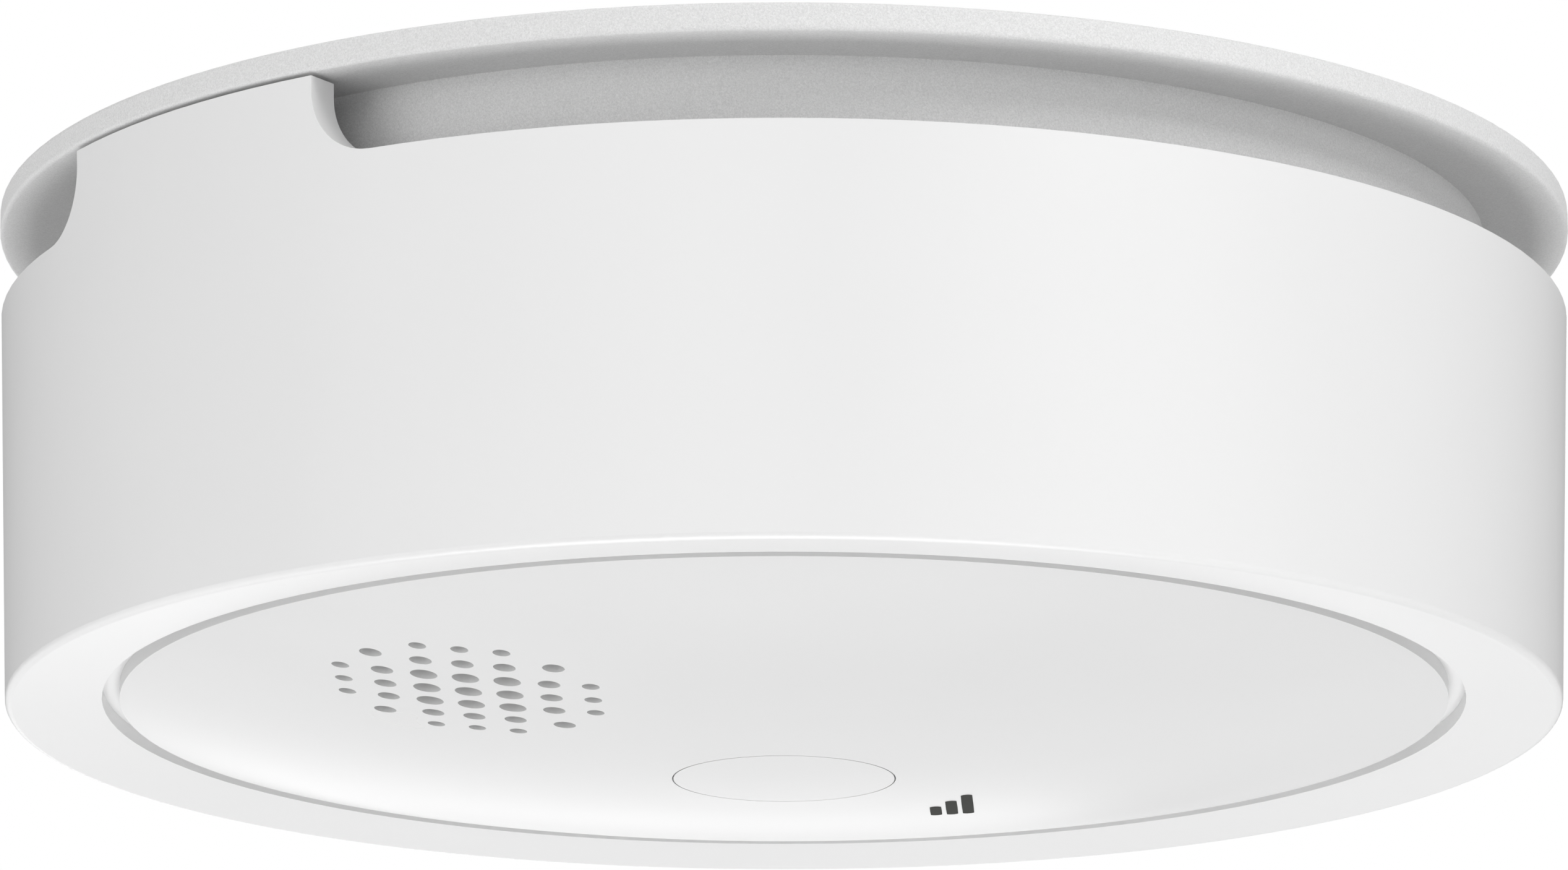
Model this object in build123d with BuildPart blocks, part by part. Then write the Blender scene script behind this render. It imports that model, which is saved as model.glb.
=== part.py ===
from build123d import *
import os
from math import cos, degrees, radians, sin, sqrt, tan

# Ceiling smoke alarm: a plate that is screwed to the ceiling, and an alarm unit that twists on to it.
# Millimetres, +Z up. The origin is the centre of the plate's ceiling face, and all else hangs below it.
# Plan angles are counted from +X, counterclockwise seen from above.

os.makedirs("parts", exist_ok=True)

# ---- clearances
twist_gap = 0.3             # between the plate and the unit that twists on it
button_gap = 0.12           # round the test button
fit_gap = 0.2               # between neighbours that never move
plunger_gap = 0.05          # round the switch's plunger

# ---- outer shape of the alarm
cover_radius = 62.5         # at the rim of the cover
cover_height = 31.5         # from the rim to the lowest edge of the wall
cover_wall = 2.8
cover_draft = 1.7           # degrees
cover_edge_round = 0.5
inlet_height = 6.7          # open smoke inlet between the plate and the rim
post_diagonal = 225.0       # where the cover's first post stands, the second is opposite
post_angle = 25.9           # how far round each post goes
post_round = 5.2            # where a post runs out into the rim
ring_width = 7.6            # the border round the face
ring_rise = 0.84            # how much higher the border's inner edge is
groove_width = 1.4
groove_depth = 1.2
shelf_width = 5.5
shelf_thickness = 2.0
dome_rise = 5.85            # how far the face bulges down
face_thickness = 2.0
hook_count = 6              # snap hooks that hold the face behind the shelf
hook_start = 15.0
hook_angle = 9.0
hook_thickness = 1.2
hook_grip = 0.9             # how far a hook reaches over the shelf

# ---- sounder grille, a square lattice with its corners left out
grille_circle = 33.0        # from the alarm's centre to the grille's
grille_pitch = 3.2
grille_reach = 3            # holes each way from the middle one
grille_corner_push = 0.58   # the corner holes stand this much further out
grille_hole_radii = [1.05, 1.05, 0.86, 0.68]

# ---- mounting plate
plate_overhang = 0.25       # beyond the cover's rim
plate_thickness = 2.15
plate_edge_round = 0.35
channel_width = 3.6         # between the plate's collar and the cover's wall
collar_wall = 2.0
collar_depth = 10.8
land_width = 5.2            # flat rim of the ceiling face
pocket_depth = 0.6
pocket_width = 16.5
rib_count = 24
rib_width = 1.2
screw_spacing = 60.0
screw_slot_width = 4.5
screw_slot_length = 14.0
cable_hole_radius = 11.0
screw_room_width = 16.0     # trough in the housing's roof where the ceiling screws' heads pass
screw_room_depth = 2.2
screw_room_side = 14.0      # degrees beyond a screw's path, at each end

# ---- bayonet between the plate and the rear housing
bayonet_count = 3
twist_angle = 20.0          # from locked to free, clockwise seen from above
bayonet_start = 90.0
tab_reach = 2.5
tab_thickness = 1.6
tab_drop = 4.85             # from the plate down to a tab
tab_angle = 18.0
stop_angle = 3.0
lug_angle = 16.0
lug_thickness = 1.8

# ---- rear housing
housing_wall = 2.0
roof_drop = 0.85            # from the plate down to the roof
roof_thickness = 2.0
flange_drop = 2.0           # from the collar's lower edge down to the flange
flange_thickness = 2.0
flange_land = 2.2
vent_count = 12
vent_spoke = 5.0
boss_radius = 3.0
boss_inset = 5.1            # from the cover's inner wall to a boss's centre
boss_start = 15.0
boss_count = 4
screw_radius = 1.1
screw_head_radius = 2.2
screw_head_height = 1.2
screw_length = 8.0

# ---- battery, a lithium cell 17 mm thick and 34.5 mm long
cell_radius = 8.5
cell_length = 34.5
cell_edge = 0.4             # chamfer round its two ends
terminal_radius = 3.3
terminal_length = 1.0
cell_gap = 0.5
contact_room = 2.6          # beyond each end of the cell
contact_thickness = 0.4
well_wall = 1.2
door_ledge = 1.2
door_thickness = 1.0
door_grip_radius = 5.0

# ---- circuit board
board_radius = 46.0
board_thickness = 1.6
board_drop = 0.5            # from the battery well down to the board
pillar_radius = 2.6
pillar_circle = 42.0
pillar_angles = [0.0, 105.0, 255.0]

# ---- smoke chamber
chamber_radius = 22.0
chamber_base_thickness = 1.4
vane_count = 20
vane_height = 10.0
vane_reach = 2.4            # how far a vane's fold stands out sideways
vane_depth = 4.6
vane_thickness = 0.9
cap_thickness = 1.6
cap_crown = 1.2
screen_gap = 0.6
screen_wall = 0.4
screen_windows = 20
screen_rows = 2
screen_bar = 0.9
optic_circle = 11.0
emitter_angle = 60.0
scatter_angle = 130.0       # from the emitter round to the photodiode
optic_radius = 1.5
optic_length = 5.2
optic_block = 5.6
optic_height = 4.2          # of the light beam above the chamber's base

# ---- sounder
sounder_radius = 12.4
sounder_wall = 1.2
sounder_contact = 2.4       # from the board down to the horn
piezo_drop = 1.8            # from the horn's top down to the piezo disc
piezo_thickness = 0.22
ceramic_radius = 7.5
ceramic_thickness = 0.25
throat_radius = 3.5
throat_thickness = 1.2
throat_drop = 1.2
gasket_thickness = 0.6      # at its thinnest
contact_pin_radius = 0.45

# ---- test button and its switch
button_radius = 8.75
button_wall = 1.2
button_floor = 2.0
button_travel = 1.2
button_flange = 1.3
sleeve_wall = 1.5
sleeve_height = 7.0
stem_radius = 2.0
switch_size = 6.0
switch_height = 3.6
plunger_radius = 1.7
plunger_length = 1.4
plunger_travel = 0.3
spring_radius = 5.3
spring_wire = 0.3
spring_turns = 5

# ---- parts on the circuit board
chip_size = 7.0
chip_height = 1.2
chip_place = (20.0, 16.0)
coil_radius = 4.0
coil_height = 4.5
coil_place = (19.0, -17.0)
led_length = 3.2
led_width = 1.6
led_height = 1.1
capacitor_radius = 3.15
capacitor_height = 5.6
capacitor_places = [(24.0, 27.0), (33.0, 20.0)]

# ---- levels, all below the ceiling face
plate_under = -plate_thickness
collar_end = plate_under - collar_depth
rim_level = plate_under - inlet_height
post_top = plate_under - twist_gap
cover_edge = rim_level - cover_height
face_rim = cover_edge + ring_rise
shelf_under = face_rim + groove_depth
shelf_top = shelf_under + shelf_thickness
dome_tip = face_rim - dome_rise
tab_top = plate_under - tab_drop
tab_under = tab_top - tab_thickness
lug_under = tab_top + twist_gap
roof_top = plate_under - roof_drop
roof_under = roof_top - roof_thickness
flange_top = collar_end - flange_drop
flange_under = flange_top - flange_thickness
cell_level = roof_under - cell_gap - cell_radius
well_floor = cell_level - cell_radius - cell_gap
well_under = well_floor - well_wall
board_top = well_under - board_drop
board_under = board_top - board_thickness
base_top = board_top + chamber_base_thickness
vane_top = base_top + vane_height
horn_top = board_under - sounder_contact
piezo_level = horn_top - piezo_drop
throat_top = piezo_level - throat_drop
sleeve_top = dome_tip + sleeve_height
button_floor_top = dome_tip + button_floor
button_flange_under = sleeve_top + button_gap
switch_under = board_under - switch_height
plunger_tip = switch_under - plunger_length
stem_top = plunger_tip - (button_travel - plunger_travel) - button_gap


# ---- radii that follow the cover
def wall_radius(level):
    """Outside radius of the tapered cover at this level."""
    return cover_radius + (level - rim_level) * tan(radians(cover_draft))


edge_radius = wall_radius(cover_edge)
groove_outer = edge_radius - ring_width
face_radius = groove_outer - groove_width
shelf_inner = face_radius - shelf_width
plate_radius = cover_radius + plate_overhang
collar_radius = cover_radius - cover_wall - channel_width
collar_inner = collar_radius - collar_wall
tab_inner = collar_inner - tab_reach
housing_radius = tab_inner - twist_gap
lug_radius = collar_inner - twist_gap
flange_radius = wall_radius(flange_under) - cover_wall - fit_gap
boss_circle = wall_radius(flange_under) - cover_wall - boss_inset
pocket_outer = plate_radius - land_width
pocket_inner = pocket_outer - pocket_width
screen_radius = chamber_radius + screen_gap
cell_offset = screen_radius + screen_wall + fit_gap + well_wall + cell_gap + cell_radius
well_width = 2 * (cell_radius + cell_gap)
well_length = cell_length + 2 * contact_room
door_width = well_width + 2 * door_ledge
door_length = well_length + 2 * door_ledge
button_hole = button_radius + button_gap
sleeve_outer = button_hole + sleeve_wall
piezo_radius = sounder_radius - sounder_wall - fit_gap

# the face is part of a sphere, and its inner side part of a smaller one with the same centre
dome_radius = (face_radius**2 + dome_rise**2) / (2 * dome_rise)
dome_centre = dome_tip + dome_radius
dome_inner_radius = dome_radius - face_thickness


def dome_level(radius):
    """Level of the face's outer side at this distance from the axis."""
    return dome_centre - sqrt(dome_radius**2 - radius**2)


def dome_inner_level(radius):
    """Level of the face's inner side at this distance from the axis."""
    return dome_centre - sqrt(dome_inner_radius**2 - radius**2)


grille_x = grille_circle * cos(radians(post_diagonal))
grille_y = grille_circle * sin(radians(post_diagonal))
gasket_top = dome_inner_level(grille_circle + sounder_radius) + gasket_thickness


# ---- helpers
def radial_plane(angle):
    """Upright plane through the Z axis. Its X points outwards at this angle and its Y points up."""
    outwards = (cos(radians(angle)), sin(radians(angle)), 0)
    return Plane((0, 0, 0), x_dir=outwards, z_dir=(sin(radians(angle)), -cos(radians(angle)), 0))


def bent_block(inner, outer, under, top, start, angle, mode=Mode.ADD):
    """Add or cut a block that bends round the Z axis, from the start angle through the given angle."""
    with BuildSketch(radial_plane(start)) as section:
        with Locations(((inner + outer) / 2, (under + top) / 2)):
            Rectangle(outer - inner, top - under)
    revolve(section.sketch, axis=Axis.Z, revolution_arc=angle, mode=mode)


def on_radius(shape_list, radius):
    """The circular edges of this radius."""
    return shape_list.filter_by(GeomType.CIRCLE).filter_by(lambda edge: abs(edge.radius - radius) < 1e-4)


def finish(part, label):
    """Name a finished piece and write it."""
    part.label = label
    export_step(part, f"parts/{label}.step")


# ---- mounting plate: disc with a ribbed pocket, a deep collar, screw slots, cable opening and bayonet tabs
with BuildPart() as mounting_plate:
    with BuildSketch(Plane.XZ):
        with BuildLine():
            Polyline(
                (cable_hole_radius, 0),
                (pocket_inner, 0),
                (pocket_inner, -pocket_depth),
                (pocket_outer, -pocket_depth),
                (pocket_outer, 0),
                (plate_radius, 0),
                (plate_radius, plate_under),
                (collar_radius, plate_under),
                (collar_radius, collar_end),
                (collar_inner, collar_end),
                (collar_inner, plate_under),
                (cable_hole_radius, plate_under),
                close=True,
            )
        make_face()
    revolve(axis=Axis.Z)
    fillet(on_radius(mounting_plate.edges(), plate_radius), plate_edge_round)
    with BuildSketch(Plane.XY.offset(-pocket_depth)):
        with PolarLocations((pocket_inner + pocket_outer) / 2, rib_count):
            Rectangle(pocket_width + rib_width, rib_width)
    extrude(amount=pocket_depth)
    with BuildSketch(Plane.XY.offset(plate_under)):
        with GridLocations(screw_spacing, screw_spacing, 1, 2):
            SlotOverall(screw_slot_length, screw_slot_width, rotation=90)
    extrude(amount=plate_thickness, mode=Mode.SUBTRACT)
    for index in range(bayonet_count):
        tab_start = bayonet_start + index * 360 / bayonet_count
        stop_start = tab_start + tab_angle
        collar_middle = collar_inner + collar_wall / 2
        bent_block(tab_inner, collar_middle, tab_under, tab_top, tab_start, tab_angle)
        bent_block(tab_inner, collar_middle, tab_under, plate_under, stop_start, stop_angle)
finish(mounting_plate.part, "mounting_plate")

# ---- rear housing: roof, wall and vented flange, with bayonet lugs, battery well and board pillars
with BuildPart() as rear_housing:
    with BuildSketch(Plane.XZ):
        with BuildLine():
            Polyline(
                (0, roof_top),
                (housing_radius, roof_top),
                (housing_radius, flange_top),
                (flange_radius, flange_top),
                (flange_radius, flange_under),
                (housing_radius - housing_wall, flange_under),
                (housing_radius - housing_wall, roof_under),
                (0, roof_under),
                close=True,
            )
        make_face()
    revolve(axis=Axis.Z)
    for index in range(bayonet_count):
        stop_start = bayonet_start + tab_angle + index * 360 / bayonet_count
        lug_end = stop_start - degrees(twist_gap / housing_radius)
        lug_inner = housing_radius - housing_wall / 2
        lug_start = lug_end - lug_angle
        bent_block(lug_inner, lug_radius, lug_under, lug_under + lug_thickness, lug_start, lug_angle)
    with BuildSketch(Plane.XY.offset(flange_under)):
        Circle(flange_radius - flange_land)
        Circle(housing_radius, mode=Mode.SUBTRACT)
        with PolarLocations(housing_radius, vent_count, start_angle=boss_start):
            Rectangle(4 * boss_inset, vent_spoke, mode=Mode.SUBTRACT)
    extrude(amount=flange_thickness, mode=Mode.SUBTRACT)
    with PolarLocations(boss_circle, boss_count, start_angle=boss_start):
        with Locations((0, 0, flange_under + flange_thickness / 2)):
            Cylinder(screw_radius + fit_gap, 2 * flange_thickness, mode=Mode.SUBTRACT)
    for screw_angle in (90, 270):
        room_inner = screw_spacing / 2 - screw_room_width / 2
        room_outer = screw_spacing / 2 + screw_room_width / 2
        room_start = screw_angle - screw_room_side
        room_angle = twist_angle + 2 * screw_room_side
        room_floor = roof_top - screw_room_depth
        bent_block(
            room_inner - roof_thickness,
            room_outer + roof_thickness,
            room_floor - roof_thickness,
            roof_under,
            room_start - screw_room_side / 3,
            room_angle + 2 * screw_room_side / 3,
        )
        bent_block(room_inner, room_outer, room_floor, roof_top, room_start, room_angle, Mode.SUBTRACT)
    with Locations((-cell_offset, 0, (roof_under + well_under) / 2)):
        Box(well_width + 2 * well_wall, well_length + 2 * well_wall, roof_under - well_under)
    with BuildSketch(Plane.XY.offset(well_floor)):
        with Locations((-cell_offset, 0)):
            Rectangle(well_width, well_length)
    extrude(amount=roof_top - well_floor, mode=Mode.SUBTRACT)
    with BuildSketch(Plane.XY.offset(roof_top - door_thickness)):
        with Locations((-cell_offset, 0)):
            RectangleRounded(door_width, door_length, door_ledge)
    extrude(amount=door_thickness, mode=Mode.SUBTRACT)
    for angle in pillar_angles:
        with BuildSketch(Plane.XY.offset(board_top)):
            with PolarLocations(pillar_circle, 1, start_angle=angle):
                Circle(pillar_radius)
                Circle(screw_radius - fit_gap, mode=Mode.SUBTRACT)
        extrude(amount=roof_under - board_top)
finish(rear_housing.part, "rear_housing")

# ---- battery door: drops into the roof over the well
with BuildPart() as battery_door:
    with BuildSketch(Plane.XY.offset(roof_top - door_thickness)):
        with Locations((-cell_offset, 0)):
            RectangleRounded(door_width - 2 * fit_gap, door_length - 2 * fit_gap, door_ledge - fit_gap)
    extrude(amount=door_thickness)
    with Locations((-cell_offset, door_length / 2, roof_top)):
        Cylinder(door_grip_radius, door_thickness, mode=Mode.SUBTRACT)
finish(battery_door.part, "battery_door")

# ---- battery: lies along Y with its raised terminal towards +Y
cell_end_plane = Plane((-cell_offset, -cell_length / 2, cell_level), x_dir=(1, 0, 0), z_dir=(0, 1, 0))
with BuildPart() as battery:
    with BuildSketch(cell_end_plane):
        Circle(cell_radius)
    extrude(amount=cell_length - terminal_length)
    chamfer(battery.edges().filter_by(GeomType.CIRCLE), cell_edge)
    with BuildSketch(cell_end_plane.offset(cell_length - terminal_length)):
        Circle(terminal_radius)
    extrude(amount=terminal_length)
finish(battery.part, "battery")


def battery_contact(side):
    """Folded leaf at one end of the well: a flat back on the wall and a tongue that bows to the cell."""
    wall_face = side * well_length / 2
    cell_face = side * cell_length / 2
    back_face = wall_face - side * contact_thickness
    with BuildPart() as leaf:
        with BuildSketch(Plane.YZ.offset(-cell_offset)):
            with BuildLine():
                edge = Polyline(
                    (wall_face - side * contact_thickness / 2, cell_level + cell_radius / 2),
                    (wall_face - side * contact_thickness / 2, cell_level - cell_radius / 2),
                    (back_face - side * contact_room / 4, cell_level - cell_radius / 2),
                    (cell_face + side * contact_thickness / 2, cell_level),
                    (back_face - side * contact_room / 4, cell_level + cell_radius / 3),
                )
                offset(edge, contact_thickness / 2)
            make_face()
        extrude(amount=terminal_radius, both=True)
    return leaf.part


for side, label in ((1, "positive_contact"), (-1, "negative_contact")):
    finish(battery_contact(side), label)

# ---- part that cuts one side's smoke inlet out of the cover, leaving rounded runs up to the posts
inlet_start = post_diagonal + post_angle / 2
with BuildPart() as inlet_cutter:
    bent_block(
        cover_radius - 2 * cover_wall,
        cover_radius + cover_wall,
        rim_level,
        post_top + inlet_height,
        inlet_start,
        180 - post_angle,
    )
    fillet(inlet_cutter.edges().filter_by(GeomType.LINE).group_by(Axis.Z)[0], post_round)

# ---- outer cover: tapered wall with two posts, sloping border, groove and the shelf behind the face
with BuildPart() as outer_cover:
    with BuildSketch(Plane.XZ):
        with BuildLine():
            Polyline(
                (wall_radius(post_top), post_top),
                (edge_radius, cover_edge),
                (groove_outer, face_rim),
                (groove_outer, shelf_under),
                (shelf_inner, shelf_under),
                (shelf_inner, shelf_top),
                (wall_radius(shelf_top) - cover_wall, shelf_top),
                (wall_radius(post_top) - cover_wall, post_top),
                close=True,
            )
        make_face()
    revolve(axis=Axis.Z)
    fillet(on_radius(outer_cover.edges(), edge_radius), cover_edge_round)
    with PolarLocations(0, 2):
        add(inlet_cutter.part, mode=Mode.SUBTRACT)
    with BuildSketch(Plane.XY.offset(shelf_top)):
        with PolarLocations(boss_circle, boss_count, start_angle=boss_start):
            Circle(boss_radius)
            with Locations((boss_inset / 2, 0)):
                Rectangle(boss_inset, cover_wall / 2)
    extrude(amount=flange_under - shelf_top)
    with PolarLocations(boss_circle, boss_count, start_angle=boss_start):
        with Locations((0, 0, flange_under)):
            Hole(screw_radius, screw_length + fit_gap)
finish(outer_cover.part, "outer_cover")

# ---- face disc: domed front with the sounder grille, the button's sleeve and snap hooks behind the shelf
with BuildPart() as face_disc:
    with BuildSketch(Plane.XZ):
        with BuildLine():
            RadiusArc(
                (button_hole, dome_level(button_hole)),
                (face_radius, face_rim),
                -dome_radius,
            )
            Polyline(
                (face_radius, face_rim),
                (face_radius, shelf_under),
                (shelf_inner - 2 * fit_gap, shelf_under),
                (shelf_inner - 2 * fit_gap, dome_inner_level(shelf_inner - 2 * fit_gap)),
            )
            RadiusArc(
                (shelf_inner - 2 * fit_gap, dome_inner_level(shelf_inner - 2 * fit_gap)),
                (sleeve_outer, dome_inner_level(sleeve_outer)),
                dome_inner_radius,
            )
            Polyline(
                (sleeve_outer, dome_inner_level(sleeve_outer)),
                (sleeve_outer, sleeve_top),
                (button_hole, sleeve_top),
                (button_hole, dome_level(button_hole)),
            )
        make_face()
    revolve(axis=Axis.Z)
    hook_outer = shelf_inner - 2 * fit_gap
    hook_inner = hook_outer - hook_thickness
    hook_under = shelf_top + fit_gap
    hook_top = hook_under + hook_thickness
    for index in range(hook_count):
        start = hook_start + index * 360 / hook_count - hook_angle / 2
        bent_block(hook_inner, hook_outer, shelf_under - face_thickness / 2, hook_top, start, hook_angle)
        bent_block(hook_inner, shelf_inner + hook_grip, hook_under, hook_top, start, hook_angle)
    with BuildSketch(Plane.XY.offset(dome_tip)):
        for column in range(-grille_reach, grille_reach + 1):
            for row in range(-grille_reach, grille_reach + 1):
                if abs(column) + abs(row) > grille_reach + 1:
                    continue
                push = grille_corner_push if abs(column) == abs(row) == grille_reach - 1 else 0
                hole_x = grille_x + column * grille_pitch + (push if column > 0 else -push)
                hole_y = grille_y + row * grille_pitch + (push if row > 0 else -push)
                with Locations((hole_x, hole_y)):
                    Circle(grille_hole_radii[max(abs(column), abs(row))])
    extrude(amount=shelf_top - dome_tip, mode=Mode.SUBTRACT)
finish(face_disc.part, "face_disc")

# ---- test button: a cup whose floor carries on the dome, with a retaining flange and a stem
with BuildPart() as test_button:
    with BuildSketch(Plane.XZ):
        with BuildLine():
            RadiusArc((0, dome_tip), (button_radius, dome_level(button_radius)), -dome_radius)
            Polyline(
                (button_radius, dome_level(button_radius)),
                (button_radius, button_flange_under),
                (sleeve_outer, button_flange_under),
                (sleeve_outer, button_flange_under + button_flange),
                (button_radius - button_wall, button_flange_under + button_flange),
                (button_radius - button_wall, button_floor_top),
                (stem_radius, button_floor_top),
                (stem_radius, stem_top),
                (0, stem_top),
                (0, dome_tip),
            )
        make_face()
    revolve(axis=Axis.Z)
finish(test_button.part, "test_button")

# ---- button spring: stands in the cup, round the stem and the switch, and bears on the board
spring_length = board_under - button_floor_top - 2 * spring_wire - 2 * plunger_gap
with BuildPart() as button_spring:
    with BuildLine() as coil:
        Helix(
            spring_length / spring_turns,
            spring_length,
            spring_radius,
            center=(0, 0, button_floor_top + spring_wire + plunger_gap),
        )
    with BuildSketch(Plane(origin=coil.line @ 0, z_dir=coil.line % 0)):
        RegularPolygon(spring_wire, 6)
    sweep(is_frenet=True)
finish(button_spring.part, "button_spring")

# ---- circuit board
with BuildPart() as circuit_board:
    with BuildSketch(Plane.XY.offset(board_under)):
        Circle(board_radius)
        for angle in pillar_angles:
            with PolarLocations(pillar_circle, 1, start_angle=angle):
                Circle(screw_radius + fit_gap, mode=Mode.SUBTRACT)
    extrude(amount=board_thickness)
finish(circuit_board.part, "circuit_board")

# ---- tact switch on the board's lower side, and the plunger that the button's stem presses
with BuildPart() as tact_switch:
    with BuildSketch(Plane.XY.offset(switch_under)):
        RectangleRounded(switch_size, switch_size, fit_gap)
    extrude(amount=switch_height)
    with BuildSketch(Plane.XY.offset(switch_under)):
        Circle(plunger_radius + plunger_gap)
    extrude(amount=switch_height / 2, mode=Mode.SUBTRACT)
finish(tact_switch.part, "tact_switch")

with BuildPart() as switch_plunger:
    with BuildSketch(Plane.XY.offset(plunger_tip)):
        Circle(plunger_radius)
    extrude(amount=plunger_length + switch_height / 2 - plunger_travel - button_gap)
finish(switch_plunger.part, "switch_plunger")

# ---- smoke chamber: base with folded vanes that stop light but let smoke drift in
vane_circle = chamber_radius - vane_depth / 2 - fit_gap
with BuildPart() as chamber_base:
    with BuildSketch(Plane.XY.offset(board_top)):
        Circle(chamber_radius)
    extrude(amount=chamber_base_thickness)
    with BuildSketch(Plane.XY.offset(base_top)):
        with PolarLocations(vane_circle, vane_count):
            Polygon(
                (vane_depth / 2, 0),
                (vane_depth / 2, vane_thickness),
                (0, vane_reach + vane_thickness),
                (-vane_depth / 2, vane_thickness),
                (-vane_depth / 2, 0),
                (0, vane_reach),
                align=None,
            )
    extrude(amount=vane_height)
    with BuildSketch(Plane.XY.offset(base_top)):
        for angle in (emitter_angle, emitter_angle + scatter_angle):
            with PolarLocations(optic_circle, 1, start_angle=angle):
                Rectangle(optic_length, optic_block)
    extrude(amount=optic_height + optic_block / 2)
    for angle in (emitter_angle, emitter_angle + scatter_angle):
        with BuildSketch(radial_plane(angle + 90)):
            with Locations((0, base_top + optic_height)):
                Circle(optic_radius)
        extrude(amount=optic_circle + optic_length, mode=Mode.SUBTRACT)
finish(chamber_base.part, "chamber_base")

# ---- chamber cap: low cone that closes the vanes
with BuildPart() as chamber_cap:
    with BuildSketch(Plane.XZ):
        with BuildLine():
            Polyline(
                (0, vane_top),
                (chamber_radius, vane_top),
                (chamber_radius, vane_top + cap_thickness),
                (chamber_radius / 2, vane_top + cap_thickness + cap_crown),
                (0, vane_top + cap_thickness + cap_crown),
                close=True,
            )
        make_face()
    revolve(axis=Axis.Z)
finish(chamber_cap.part, "chamber_cap")

# ---- insect screen: fine cage round the vanes
screen_height = vane_top + cap_thickness - board_top
window_height = (screen_height - (screen_rows + 1) * screen_bar) / screen_rows
window_width = radians(360 / screen_windows) * screen_radius - screen_bar
with BuildPart() as insect_screen:
    with BuildSketch(Plane.XY.offset(board_top)):
        Circle(screen_radius + screen_wall)
        Circle(screen_radius, mode=Mode.SUBTRACT)
    extrude(amount=screen_height)
    for row in range(screen_rows):
        row_level = board_top + screen_bar + window_height / 2 + row * (window_height + screen_bar)
        with PolarLocations(screen_radius, screen_windows):
            with Locations((0, 0, row_level)):
                Box(4 * screen_wall, window_width, window_height, mode=Mode.SUBTRACT)
finish(insect_screen.part, "insect_screen")


def optic_plane(angle):
    """Plane across the light beam, at the inner end of an optical device that lies at this angle."""
    outwards = (cos(radians(angle)), sin(radians(angle)), 0)
    inner_end = optic_circle - optic_length / 2
    return Plane(
        (inner_end * outwards[0], inner_end * outwards[1], base_top + optic_height),
        x_dir=(0, 0, 1),
        z_dir=outwards,
    )


# ---- infrared emitter and photodiode: round bodies with a narrowed end that look across the chamber
for angle, label in ((emitter_angle, "infrared_emitter"), (emitter_angle + scatter_angle, "photodiode")):
    with BuildPart() as optic:
        with BuildSketch(optic_plane(angle)):
            Circle(optic_radius)
        extrude(amount=optic_length)
        chamfer(optic.edges().filter_by(GeomType.CIRCLE).sort_by_distance((0, 0, base_top))[0], optic_radius / 2)
    finish(optic.part, label)

# ---- sounder horn: tube with a throat plate, a ledge for the piezo disc and three feet on the board
with BuildPart() as sounder_horn:
    with BuildSketch(Plane.XY.offset(gasket_top)):
        with Locations((grille_x, grille_y)):
            Circle(sounder_radius)
            Circle(sounder_radius - sounder_wall, mode=Mode.SUBTRACT)
    extrude(amount=horn_top - gasket_top)
    with BuildSketch(Plane.XY.offset(throat_top - throat_thickness)):
        with Locations((grille_x, grille_y)):
            Circle(sounder_radius - sounder_wall / 2)
            Circle(throat_radius, mode=Mode.SUBTRACT)
    extrude(amount=throat_thickness)
    with BuildSketch(Plane.XY.offset(throat_top)):
        with Locations((grille_x, grille_y)):
            Circle(sounder_radius - sounder_wall / 2)
            Circle(piezo_radius - sounder_wall, mode=Mode.SUBTRACT)
    extrude(amount=throat_drop)
    with BuildSketch(Plane.XY.offset(horn_top)):
        with Locations((grille_x, grille_y)):
            with PolarLocations(sounder_radius - sounder_wall / 2, 3):
                Circle(sounder_wall / 2)
    extrude(amount=sounder_contact)
finish(sounder_horn.part, "sounder_horn")

# ---- piezo disc with its ceramic layer, and the two spring pins that feed them
with BuildPart() as piezo_disc:
    with Locations((grille_x, grille_y, piezo_level + piezo_thickness / 2)):
        Cylinder(piezo_radius, piezo_thickness)
finish(piezo_disc.part, "piezo_disc")

ceramic_level = piezo_level + piezo_thickness
with BuildPart() as piezo_ceramic:
    with Locations((grille_x, grille_y, ceramic_level + ceramic_thickness / 2)):
        Cylinder(ceramic_radius, ceramic_thickness)
finish(piezo_ceramic.part, "piezo_ceramic")

with BuildPart() as sounder_contacts:
    with BuildSketch(Plane.XY.offset(ceramic_level + ceramic_thickness)):
        with Locations((grille_x, grille_y)):
            Circle(contact_pin_radius)
    extrude(amount=board_under - ceramic_level - ceramic_thickness)
    with BuildSketch(Plane.XY.offset(ceramic_level)):
        with Locations((grille_x + (ceramic_radius + piezo_radius) / 2, grille_y)):
            Circle(contact_pin_radius)
    extrude(amount=board_under - ceramic_level)
finish(sounder_contacts.part, "sounder_contacts")

# ---- sounder gasket: foam ring between the horn and the curved inner side of the face
with BuildPart() as sounder_gasket:
    with BuildSketch(Plane.XY.offset(gasket_top)):
        with Locations((grille_x, grille_y)):
            Circle(sounder_radius)
            Circle(sounder_radius - sounder_wall, mode=Mode.SUBTRACT)
    extrude(amount=dome_tip - gasket_top)
    with Locations((0, 0, dome_centre)):
        Sphere(dome_inner_radius, mode=Mode.INTERSECT)
finish(sounder_gasket.part, "sounder_gasket")

# ---- parts soldered to the board's lower side, clear of the sounder and the switch
with BuildPart() as microcontroller:
    with BuildSketch(Plane.XY.offset(board_under)):
        with Locations(chip_place):
            RectangleRounded(chip_size, chip_size, fit_gap)
    extrude(amount=-chip_height)
finish(microcontroller.part, "microcontroller")

with BuildPart() as boost_coil:
    with BuildSketch(Plane.XY.offset(board_under)):
        with Locations(coil_place):
            Circle(coil_radius)
    extrude(amount=-coil_height)
finish(boost_coil.part, "boost_coil")

with BuildPart() as status_led:
    with BuildSketch(Plane.XY.offset(board_under)):
        with Locations((0, spring_radius + 2 * spring_wire + led_width)):
            Rectangle(led_length, led_width)
    extrude(amount=-led_height)
finish(status_led.part, "status_led")

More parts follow.
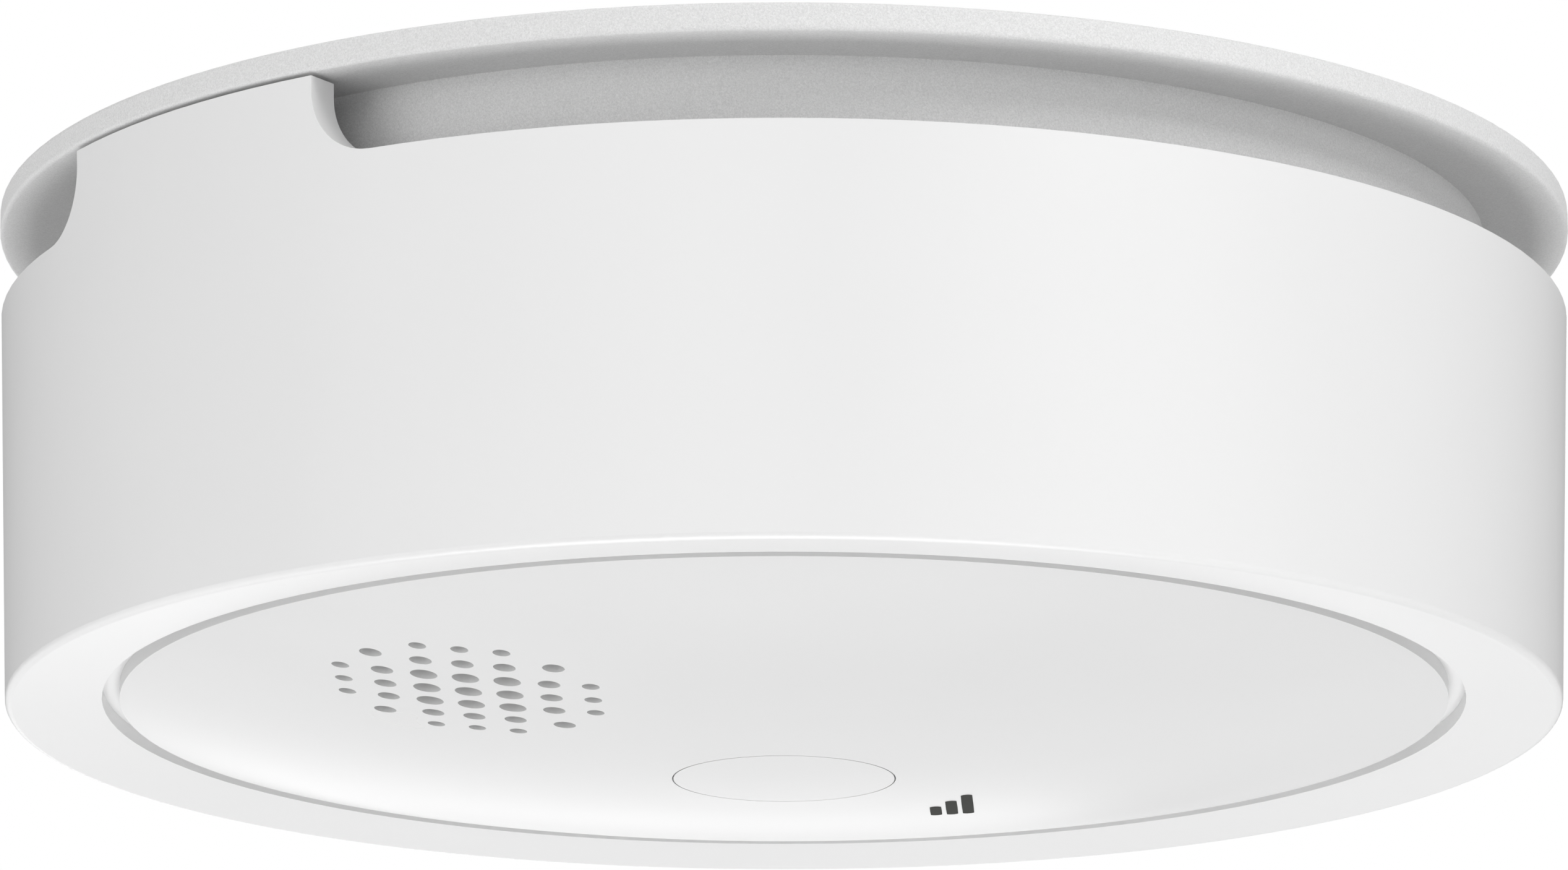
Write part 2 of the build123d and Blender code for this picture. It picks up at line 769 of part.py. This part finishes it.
with BuildPart() as capacitors:
    with BuildSketch(Plane.XY.offset(board_top)):
        with Locations(*capacitor_places):
            Circle(capacitor_radius)
    extrude(amount=capacitor_height)
finish(capacitors.part, "capacitors")

# ---- screws that hold the housing to the cover, driven from above
with BuildPart() as cover_screws:
    with BuildSketch(Plane.XY.offset(flange_top)):
        with PolarLocations(boss_circle, boss_count, start_angle=boss_start):
            Circle(screw_head_radius)
    extrude(amount=screw_head_height)
    with BuildSketch(Plane.XY.offset(flange_top)):
        with PolarLocations(boss_circle, boss_count, start_angle=boss_start):
            Circle(screw_radius - plunger_gap)
    extrude(amount=-screw_length)
finish(cover_screws.part, "cover_screws")

# ---- screws that hold the board to the housing's pillars, driven from below
with BuildPart() as board_screws:
    for angle in pillar_angles:
        with BuildSketch(Plane.XY.offset(board_under)):
            with PolarLocations(pillar_circle, 1, start_angle=angle):
                Circle(screw_head_radius)
        extrude(amount=-screw_head_height)
        with BuildSketch(Plane.XY.offset(board_under)):
            with PolarLocations(pillar_circle, 1, start_angle=angle):
                Circle(screw_radius - fit_gap - plunger_gap)
        extrude(amount=screw_length)
finish(board_screws.part, "board_screws")
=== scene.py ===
# %% [markdown]
# # Ceiling smoke alarm
# This lesson dresses a round smoke alarm for a studio picture. The alarm hangs face down from a ceiling, so we
# look up at it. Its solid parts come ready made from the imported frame, in metres, with the ceiling face of the
# plate at the origin. What we add is the finish of every part, the printed mark, the camera and the light.

# %% Load the frame
import math

import bpy
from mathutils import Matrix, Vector


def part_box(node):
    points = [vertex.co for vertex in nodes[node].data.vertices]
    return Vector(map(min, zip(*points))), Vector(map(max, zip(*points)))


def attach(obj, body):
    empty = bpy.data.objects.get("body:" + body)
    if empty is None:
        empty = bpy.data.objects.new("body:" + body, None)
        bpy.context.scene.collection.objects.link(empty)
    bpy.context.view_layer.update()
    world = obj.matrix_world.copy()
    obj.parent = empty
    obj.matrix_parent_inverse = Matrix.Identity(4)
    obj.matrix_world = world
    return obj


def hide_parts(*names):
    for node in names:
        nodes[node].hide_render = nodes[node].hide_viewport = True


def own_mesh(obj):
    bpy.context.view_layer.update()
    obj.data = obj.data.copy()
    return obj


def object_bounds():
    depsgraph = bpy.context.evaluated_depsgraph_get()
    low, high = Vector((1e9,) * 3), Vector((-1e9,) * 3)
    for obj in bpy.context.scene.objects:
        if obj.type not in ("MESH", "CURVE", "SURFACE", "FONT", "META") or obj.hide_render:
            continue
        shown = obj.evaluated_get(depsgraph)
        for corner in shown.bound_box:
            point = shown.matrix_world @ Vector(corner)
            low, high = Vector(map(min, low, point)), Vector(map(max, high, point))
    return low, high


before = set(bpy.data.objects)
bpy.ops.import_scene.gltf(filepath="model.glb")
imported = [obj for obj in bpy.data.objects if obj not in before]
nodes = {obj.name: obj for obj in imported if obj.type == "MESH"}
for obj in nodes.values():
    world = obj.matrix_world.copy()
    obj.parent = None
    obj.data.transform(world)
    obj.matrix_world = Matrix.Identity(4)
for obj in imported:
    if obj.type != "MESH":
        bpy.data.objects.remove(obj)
cad_low, cad_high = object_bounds()
scene = bpy.context.scene
mm = 0.001
print("nodes", len(nodes), "size in mm", [round((cad_high[i] - cad_low[i]) / mm, 2) for i in range(3)])

# %% [markdown]
# ## Camera
# A product picture of a ceiling fitting is taken from below and from some way off, with a long lens, so that the
# near and far rims keep nearly the same width. The camera stands about eleven radii from the alarm's axis. It is
# aimed at a point on the axis just under the rim of the cover, and it stands a little to the right of the Y axis.

# %% Camera
cover_low, cover_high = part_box("outer_cover")
cover_radius = (cover_high.x - cover_low.x) / 2
cover_edge = cover_low.z

camera_distance = 11.01 * cover_radius
camera_side = math.radians(2.23)
camera_drop = 149.5 * mm
aim_above_edge = 23.15 * mm
aim_point = Vector((0, 0, cover_edge + aim_above_edge))
sensor_width_mm = 36
long_lens_mm = 203.8

camera_data = bpy.data.cameras.new("studio_camera")
camera_data.sensor_width = sensor_width_mm
camera_data.lens = long_lens_mm
camera = bpy.data.objects.new("studio_camera", camera_data)
scene.collection.objects.link(camera)
camera.location = (
    camera_distance * math.sin(camera_side),
    -camera_distance * math.cos(camera_side),
    cover_edge - camera_drop,
)
camera.rotation_euler = (aim_point - camera.location).to_track_quat("-Z", "Y").to_euler()
scene.camera = camera
print("camera at", [round(value / mm, 1) for value in camera.location])

# %% [markdown]
# ## Floor, sky and lamps
# The floor is the room's own, 2.4 m below the ceiling. It never comes near the alarm, and shows behind it only in
# views from above. The background is plain white, and so that the floor reads as pale too, the camera sees it as
# evenly lit, while the alarm is only lit by what the floor really sends back. White plastic on white only shows its
# form where the light falls off, so the lamps are large and soft panels that stand all round, with the left side a
# little weaker than the right. The camera doesn't see the panels themselves. A low strip behind the alarm is there
# for its reflection only: it makes the far limb of the domed face shine, as a bright wall would.

# %% Floor
def deselect():
    """Nothing stays selected, so that the next operator only acts on the new piece."""
    bpy.ops.object.select_all(action="DESELECT")


room_height = 2.4
floor_side = 30
floor_tone = (0.86, 0.86, 0.86, 1)

deselect()
bpy.ops.mesh.primitive_plane_add(size=floor_side, location=(0, 0, -room_height))
floor = bpy.context.object
floor.name = "floor"

floor_finish = bpy.data.materials.new("pale_floor")
floor_finish.use_nodes = True
floor_nodes = floor_finish.node_tree.nodes
floor_links = floor_finish.node_tree.links
floor_shader = floor_nodes["Principled BSDF"]
floor_shader.inputs["Base Color"].default_value = floor_tone
floor_shader.inputs["Roughness"].default_value = 0.8
floor_seen = floor_nodes.new("ShaderNodeEmission")
floor_seen.inputs["Color"].default_value = floor_tone
floor_path = floor_nodes.new("ShaderNodeLightPath")
floor_mix = floor_nodes.new("ShaderNodeMixShader")
floor_links.new(floor_path.outputs["Is Camera Ray"], floor_mix.inputs["Fac"])
floor_links.new(floor_shader.outputs["BSDF"], floor_mix.inputs[1])
floor_links.new(floor_seen.outputs["Emission"], floor_mix.inputs[2])
floor_links.new(floor_mix.outputs["Shader"], floor_nodes["Material Output"].inputs["Surface"])
floor.data.materials.append(floor_finish)
print("floor", floor_side, "m wide,", room_height, "m down")

# %% Sky: white to the camera, weaker as a lamp
white = (1, 1, 1, 1)
sky_lamp_strength = 0.2
sky_seen_strength = 1.0

scene.view_settings.view_transform = "Standard"
sky = bpy.data.worlds.new("white_sky")
sky.use_nodes = True
scene.world = sky
sky_nodes = sky.node_tree.nodes
sky_links = sky.node_tree.links
sky_nodes.clear()
sky_light = sky_nodes.new("ShaderNodeBackground")
sky_light.inputs["Color"].default_value = white
sky_light.inputs["Strength"].default_value = sky_lamp_strength
sky_seen = sky_nodes.new("ShaderNodeBackground")
sky_seen.inputs["Color"].default_value = white
sky_seen.inputs["Strength"].default_value = sky_seen_strength
sky_path = sky_nodes.new("ShaderNodeLightPath")
sky_mix = sky_nodes.new("ShaderNodeMixShader")
sky_out = sky_nodes.new("ShaderNodeOutputWorld")
sky_links.new(sky_path.outputs["Is Camera Ray"], sky_mix.inputs["Fac"])
sky_links.new(sky_light.outputs["Background"], sky_mix.inputs[1])
sky_links.new(sky_seen.outputs["Background"], sky_mix.inputs[2])
sky_links.new(sky_mix.outputs["Shader"], sky_out.inputs["Surface"])
print("sky strength as a lamp", sky_lamp_strength, "and as seen", sky_seen_strength)


# %% Lamps
def lamp(name, azimuth, elevation, distance, width, height, power):
    """A soft panel that faces the alarm. Azimuth 0 is in front, 90 is at the right."""
    around = math.radians(azimuth)
    above = math.radians(elevation)
    away = Vector((math.sin(around) * math.cos(above), -math.cos(around) * math.cos(above), math.sin(above)))
    data = bpy.data.lights.new(name, "AREA")
    data.shape = "RECTANGLE"
    data.size = width
    data.size_y = height
    data.energy = power
    panel = bpy.data.objects.new(name, data)
    scene.collection.objects.link(panel)
    panel.visible_camera = False
    middle = Vector((0, 0, cover_edge / 2))
    panel.location = middle + away * distance
    panel.rotation_euler = (-away).to_track_quat("-Z", "Y").to_euler()
    return panel


# name: azimuth and elevation in degrees, distance, width and height in metres, power in watts
panels = {
    "key_panel_high": (50, 38, 1.8, 1.2, 1.2, 20.8),
    "key_panel_low": (60, -8, 1.8, 1.2, 1.2, 5.0),
    "side_panel_right": (95, -8, 1.8, 1.2, 1.2, 1.4),
    "front_panel_right": (30, -8, 1.8, 1.2, 1.2, 2.7),
    "front_panel": (-15, 10, 1.8, 1.2, 1.2, 3.8),
    "front_panel_left": (-50, -8, 1.8, 1.2, 1.2, 7.8),
    "side_panel_left": (-90, -8, 1.8, 1.2, 1.2, 4.3),
    "fill_panel_high": (-70, 38, 1.8, 1.2, 1.2, 7.6),
    "under_panel": (0, -88, 1.8, 1.6, 1.6, 26.5),
    "back_panel": (180, -10, 2.0, 3.0, 0.8, 3.8),
    "back_strip": (187, -3, 2.0, 0.6, 0.3, 0.6),
    "back_panel_high": (180, 38, 1.8, 1.0, 1.0, 6.0),
}
lamps = [lamp(name, *values) for name, values in panels.items()]
print("lamps", len(lamps))

# %% [markdown]
# ## Finishes
# Two effects are shared by all the finishes, so each is a node group: a fine grain, and a faint unevenness in tone.
# The groups give only masks and heights, and each material decides what to do with them.

# %% Helpers for node groups
def new_group(name, inputs, outputs):
    """An empty shader node group with named number sockets."""
    group = bpy.data.node_groups.new(name, "ShaderNodeTree")
    for label, value in inputs.items():
        socket = group.interface.new_socket(name=label, in_out="INPUT", socket_type="NodeSocketFloat")
        socket.default_value = value
    for label in outputs:
        group.interface.new_socket(name=label, in_out="OUTPUT", socket_type="NodeSocketFloat")
    start = group.nodes.new("NodeGroupInput")
    end = group.nodes.new("NodeGroupOutput")
    return group, start, end


def math_node(tree, operation, first, second):
    """A math node whose two sides are sockets or numbers."""
    node = tree.nodes.new("ShaderNodeMath")
    node.operation = operation
    for socket, side in zip(node.inputs, (first, second)):
        if isinstance(side, (int, float)):
            socket.default_value = side
        else:
            tree.links.new(side, socket)
    return node.outputs[0]


def noise_node(tree, coordinate, scale, detail):
    """Noise that reads the object's own coordinates, in metres."""
    node = tree.nodes.new("ShaderNodeTexNoise")
    node.inputs["Detail"].default_value = detail
    node.inputs["Roughness"].default_value = 0.5
    tree.links.new(coordinate, node.inputs["Vector"])
    tree.links.new(scale, node.inputs["Scale"])
    return node.outputs["Fac"]


# %% Group: moulded grain
mm_per_metre = 1000.0
finer_ratio = 2.3
speckle_low = 0.34
speckle_high = 0.66

grain_group, grain_in, grain_out = new_group("moulded_grain", {"Grain Size mm": 0.3}, ["Height", "Speckle"])
place = grain_group.nodes.new("ShaderNodeTexCoord").outputs["Object"]
per_metre = math_node(grain_group, "DIVIDE", mm_per_metre, grain_in.outputs["Grain Size mm"])
coarse = noise_node(grain_group, place, per_metre, 2.0)
finer_scale = math_node(grain_group, "MULTIPLY", per_metre, finer_ratio)
fine = noise_node(grain_group, place, finer_scale, 1.0)
both = math_node(grain_group, "ADD", coarse, fine)
height = math_node(grain_group, "MULTIPLY", both, 0.5)
# noise stays near its middle, so the speckle stretches that part to the full range
sharper = grain_group.nodes.new("ShaderNodeMapRange")
sharper.inputs["From Min"].default_value = speckle_low
sharper.inputs["From Max"].default_value = speckle_high
grain_group.links.new(height, sharper.inputs["Value"])
grain_group.links.new(height, grain_out.inputs["Height"])
grain_group.links.new(sharper.outputs["Result"], grain_out.inputs["Speckle"])
print("grain group has", len(grain_group.nodes), "nodes")

# %% Group: uneven tone
tone_group, tone_in, tone_out = new_group("uneven_tone", {"Patch Size mm": 20.0}, ["Tone"])
place = tone_group.nodes.new("ShaderNodeTexCoord").outputs["Object"]
per_metre = math_node(tone_group, "DIVIDE", mm_per_metre, tone_in.outputs["Patch Size mm"])
patches = noise_node(tone_group, place, per_metre, 3.0)
tone_group.links.new(patches, tone_out.inputs["Tone"])
print("tone group has", len(tone_group.nodes), "nodes")


# %% Helpers for materials
def place_group(tree, group, values):
    """Puts a node group in a material with its own values."""
    node = tree.nodes.new("ShaderNodeGroup")
    node.node_tree = group
    for label, value in values.items():
        node.inputs[label].default_value = value
    return node


def mix_colours(tree, mask, dark, light):
    """A colour between two, chosen by a mask."""
    ramp = tree.nodes.new("ShaderNodeMix")
    ramp.data_type = "RGBA"
    tree.links.new(mask, ramp.inputs["Factor"])
    ramp.inputs["A"].default_value = (*dark, 1)
    ramp.inputs["B"].default_value = (*light, 1)
    return ramp.outputs["Result"]


def spread(tree, value, low, high):
    """Stretches a 0 to 1 value between two limits."""
    node = tree.nodes.new("ShaderNodeMapRange")
    node.inputs["To Min"].default_value = low
    node.inputs["To Max"].default_value = high
    tree.links.new(value, node.inputs["Value"])
    return node.outputs["Result"]


def grey(value):
    """A colour with no hue."""
    return (value, value, value)


patch_mm = 20.0


def finish(name, dark, light, rough, grain_mm, bump_mm, metal=0.0, speckle=False, **constants):
    """A material made of grain and tone. rough is the least and the most roughness."""
    material = bpy.data.materials.new(name)
    material.use_nodes = True
    tree = material.node_tree
    shader = tree.nodes["Principled BSDF"]
    grain = place_group(tree, grain_group, {"Grain Size mm": grain_mm})
    tone = place_group(tree, tone_group, {"Patch Size mm": patch_mm})
    mask = grain.outputs["Speckle"] if speckle else tone.outputs["Tone"]
    tree.links.new(mix_colours(tree, mask, dark, light), shader.inputs["Base Color"])
    tree.links.new(spread(tree, tone.outputs["Tone"], *rough), shader.inputs["Roughness"])
    bump = tree.nodes.new("ShaderNodeBump")
    bump.inputs["Distance"].default_value = bump_mm * mm
    tree.links.new(grain.outputs["Height"], bump.inputs["Height"])
    tree.links.new(bump.outputs["Normal"], shader.inputs["Normal"])
    shader.inputs["Metallic"].default_value = metal
    for label, value in constants.items():
        shader.inputs[label.replace("_", " ")].default_value = value
    return material


# %% [markdown]
# ## Plastics
# The cover, the face and the button are moulded in a smooth tool, so their surface is satin with almost no grain.
# The plate and the housing come from an eroded tool and are matte, with a fine sparkle. Both are nearly white:
# pure white would leave no room for the highlights. The face and its button are moulded apart from the cover and
# are a shade darker, so they have a finish of their own.

# %% Plastics
satin_white = finish("satin_white", grey(0.84), grey(0.86), (0.26, 0.32), 0.6, 0.003)
face_white = finish("face_white", grey(0.77), grey(0.795), (0.26, 0.32), 0.6, 0.003)
grained_white = finish("grained_white", grey(0.69), grey(0.87), (0.5, 0.65), 0.15, 0.05, speckle=True)
horn_white = finish("horn_white", (0.72, 0.71, 0.68), (0.78, 0.77, 0.74), (0.45, 0.55), 0.4, 0.01)
moulded_black = finish("moulded_black", grey(0.012), grey(0.03), (0.45, 0.6), 0.3, 0.03)
foam_black = finish("foam_black", grey(0.01), grey(0.05), (0.85, 0.95), 0.5, 0.3)
lens_clear = finish("lens_clear", (0.10, 0.10, 0.13), (0.14, 0.14, 0.18), (0.08, 0.14), 1.0, 0.002)

# %% Metals, board and ceramic
board_green = finish("board_green", (0.006, 0.06, 0.025), (0.012, 0.09, 0.035), (0.25, 0.35), 1.2, 0.01)
spring_steel = finish("spring_steel", (0.52, 0.52, 0.53), (0.66, 0.66, 0.67), (0.22, 0.34), 0.5, 0.01, metal=1.0)
zinc_steel = finish("zinc_steel", (0.55, 0.55, 0.58), (0.68, 0.69, 0.72), (0.3, 0.42), 0.4, 0.02, metal=1.0)
can_aluminium = finish("can_aluminium", (0.7, 0.7, 0.72), (0.82, 0.82, 0.84), (0.25, 0.35), 0.5, 0.01, metal=1.0)
cell_sleeve = finish("cell_sleeve", (0.02, 0.05, 0.16), (0.03, 0.07, 0.2), (0.25, 0.35), 1.0, 0.01)
piezo_brass = finish("piezo_brass", (0.62, 0.42, 0.14), (0.78, 0.56, 0.24), (0.2, 0.35), 0.6, 0.01, metal=1.0)
piezo_silver = finish("piezo_silver", (0.6, 0.58, 0.52), (0.74, 0.72, 0.66), (0.4, 0.55), 0.4, 0.01, metal=0.6)

# %% Put the finishes on the nodes
finish_of = {
    satin_white: ["outer_cover"],
    face_white: ["face_disc", "test_button"],
    grained_white: ["mounting_plate", "rear_housing", "battery_door"],
    horn_white: ["sounder_horn"],
    moulded_black: ["tact_switch", "switch_plunger", "chamber_base", "chamber_cap", "microcontroller", "boost_coil"],
    foam_black: ["sounder_gasket"],
    lens_clear: ["infrared_emitter", "photodiode", "status_led"],
    board_green: ["circuit_board"],
    spring_steel: ["positive_contact", "negative_contact", "button_spring", "insect_screen", "sounder_contacts"],
    zinc_steel: ["cover_screws", "board_screws"],
    can_aluminium: ["capacitors"],
    cell_sleeve: ["battery"],
    piezo_brass: ["piezo_disc"],
    piezo_silver: ["piezo_ceramic"],
}
for material, names in finish_of.items():
    for name in names:
        nodes[name].data.materials.clear()
        nodes[name].data.materials.append(material)
dressed = {name for names in finish_of.values() for name in names}
print("nodes without a finish:", sorted(set(nodes) - dressed))

# %% [markdown]
# ## Button spring
# A coil spring stands between the board and the button and gets shorter as the button is pressed. The spring is
# made again here as a mesh of its own: a small circle, the wire's section, is wound up with a screw modifier, and
# its two ends are closed.

# %% Spring wire
spring_low, spring_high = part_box("button_spring")
wire_radius = 0.26 * mm
wire_sides = 8
spring_turns = 5
turn_steps = 40
weld_gap = 0.001 * mm
smooth_below = math.radians(60)
spring_length = spring_high.z - spring_low.z
coil_radius = spring_high.x - wire_radius
coil_height = spring_length - 2 * wire_radius

deselect()
bpy.ops.mesh.primitive_circle_add(
    vertices=wire_sides,
    radius=wire_radius,
    rotation=(math.radians(90), 0, 0),
    location=(coil_radius, 0, spring_low.z + wire_radius),
)
spring = bpy.context.object
spring.name = "coiled_button_spring"
bpy.ops.object.transform_apply(location=True, rotation=True, scale=True)

# %% Wind it and close the ends
winding = spring.modifiers.new("winding", "SCREW")
winding.axis = "Z"
winding.angle = math.radians(360)
winding.screw_offset = coil_height / spring_turns
winding.iterations = spring_turns
winding.steps = turn_steps
winding.render_steps = turn_steps
bpy.ops.object.modifier_apply(modifier=winding.name)

bpy.ops.object.mode_set(mode="EDIT")
bpy.ops.mesh.select_all(action="SELECT")
bpy.ops.mesh.remove_doubles(threshold=weld_gap)
bpy.ops.mesh.fill_holes(sides=wire_sides)
bpy.ops.mesh.normals_make_consistent(inside=False)
bpy.ops.object.mode_set(mode="OBJECT")
deselect()
spring.select_set(True)
bpy.ops.object.shade_smooth_by_angle(angle=smooth_below)
heights = [vertex.co.z / mm for vertex in spring.data.vertices]
print("spring from", round(min(heights), 2), "to", round(max(heights), 2), "mm, faces", len(spring.data.polygons))

# %% Finish and body
spring.data.materials.append(spring_steel)
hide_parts("button_spring")
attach(spring, "alarm")
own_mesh(spring)

# %% [markdown]
# ## Printed mark
# Such alarms carry a small dark print on the face. Ours is three plain bars that mean nothing. A print is a skin of
# ink, so each bar starts as a flat disc, is pulled out to its length, is cut finely enough to follow the dome, is
# laid on it with a shrinkwrap and gets the ink's thickness. It rides with the face that it is printed on.

# %% Sizes of the bars
bar_width = 0.95 * mm
bar_pitch = 1.3 * mm
bar_lengths = [5.0 * mm, 7.5 * mm, 10.0 * mm]
bars_middle = 12.97 * mm
bars_far_end = 18.8 * mm
bar_round_sides = 24
bar_cuts = 5
start_below = 1 * mm
middle_margin = 0.01 * mm
ink_clearance = 0.02 * mm
ink_thickness = 0.03 * mm


# %% A bar with round ends
def printed_bar(middle, far_end, length):
    """A flat bar along Y, just under the face. Its far round end touches far_end."""
    centre_y = far_end - length / 2
    deselect()
    bpy.ops.mesh.primitive_circle_add(
        vertices=bar_round_sides,
        radius=bar_width / 2,
        fill_type="TRIFAN",
        location=(middle, centre_y, cad_low.z - start_below),
    )
    bar = bpy.context.object
    bpy.ops.object.transform_apply(location=True, rotation=True, scale=True)
    for side in (-1, 1):
        bpy.ops.object.mode_set(mode="EDIT")
        bpy.ops.mesh.select_all(action="DESELECT")
        bpy.ops.object.mode_set(mode="OBJECT")
        for vertex in bar.data.vertices:
            vertex.select = (vertex.co.y - centre_y) * side > middle_margin
        bpy.ops.object.mode_set(mode="EDIT")
        bpy.ops.transform.translate(value=(0, side * (length - bar_width) / 2, 0))
        bpy.ops.object.mode_set(mode="OBJECT")
    bpy.ops.object.mode_set(mode="EDIT")
    bpy.ops.mesh.select_all(action="SELECT")
    bpy.ops.mesh.subdivide(number_cuts=bar_cuts)
    bpy.ops.object.mode_set(mode="OBJECT")
    return bar


middle_number = (len(bar_lengths) - 1) / 2
bars = [
    printed_bar(bars_middle + (number - middle_number) * bar_pitch, bars_far_end, length)
    for number, length in enumerate(bar_lengths)
]
print("bars", len(bars), "faces", [len(bar.data.polygons) for bar in bars])

# %% Join the bars and lay them on the face
deselect()
for bar in bars:
    bar.select_set(True)
bpy.context.view_layer.objects.active = bars[0]
bpy.ops.object.join()
mark = bpy.context.object
mark.name = "printed_mark"

wrap = mark.modifiers.new("on_the_dome", "SHRINKWRAP")
wrap.target = nodes["face_disc"]
wrap.wrap_method = "PROJECT"
wrap.use_project_z = True
wrap.use_negative_direction = False
wrap.use_positive_direction = True
wrap.offset = ink_clearance
bpy.ops.object.modifier_apply(modifier=wrap.name)

skin = mark.modifiers.new("ink", "SOLIDIFY")
skin.thickness = ink_thickness
skin.offset = 0
bpy.ops.object.modifier_apply(modifier=skin.name)

bpy.ops.object.mode_set(mode="EDIT")
bpy.ops.mesh.select_all(action="SELECT")
bpy.ops.mesh.normals_make_consistent(inside=False)
bpy.ops.object.mode_set(mode="OBJECT")

mark_low = [min(vertex.co[axis] for vertex in mark.data.vertices) / mm for axis in range(3)]
mark_high = [max(vertex.co[axis] for vertex in mark.data.vertices) / mm for axis in range(3)]
print("mark from", [round(value, 2) for value in mark_low], "to", [round(value, 2) for value in mark_high])

# %% Ink and body
ink = finish(
    "dark_ink", (0.035, 0.036, 0.033), (0.055, 0.056, 0.052), (0.75, 0.85), 0.25, 0.004, Specular_IOR_Level=0.2
)
mark.data.materials.append(ink)
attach(mark, "alarm")
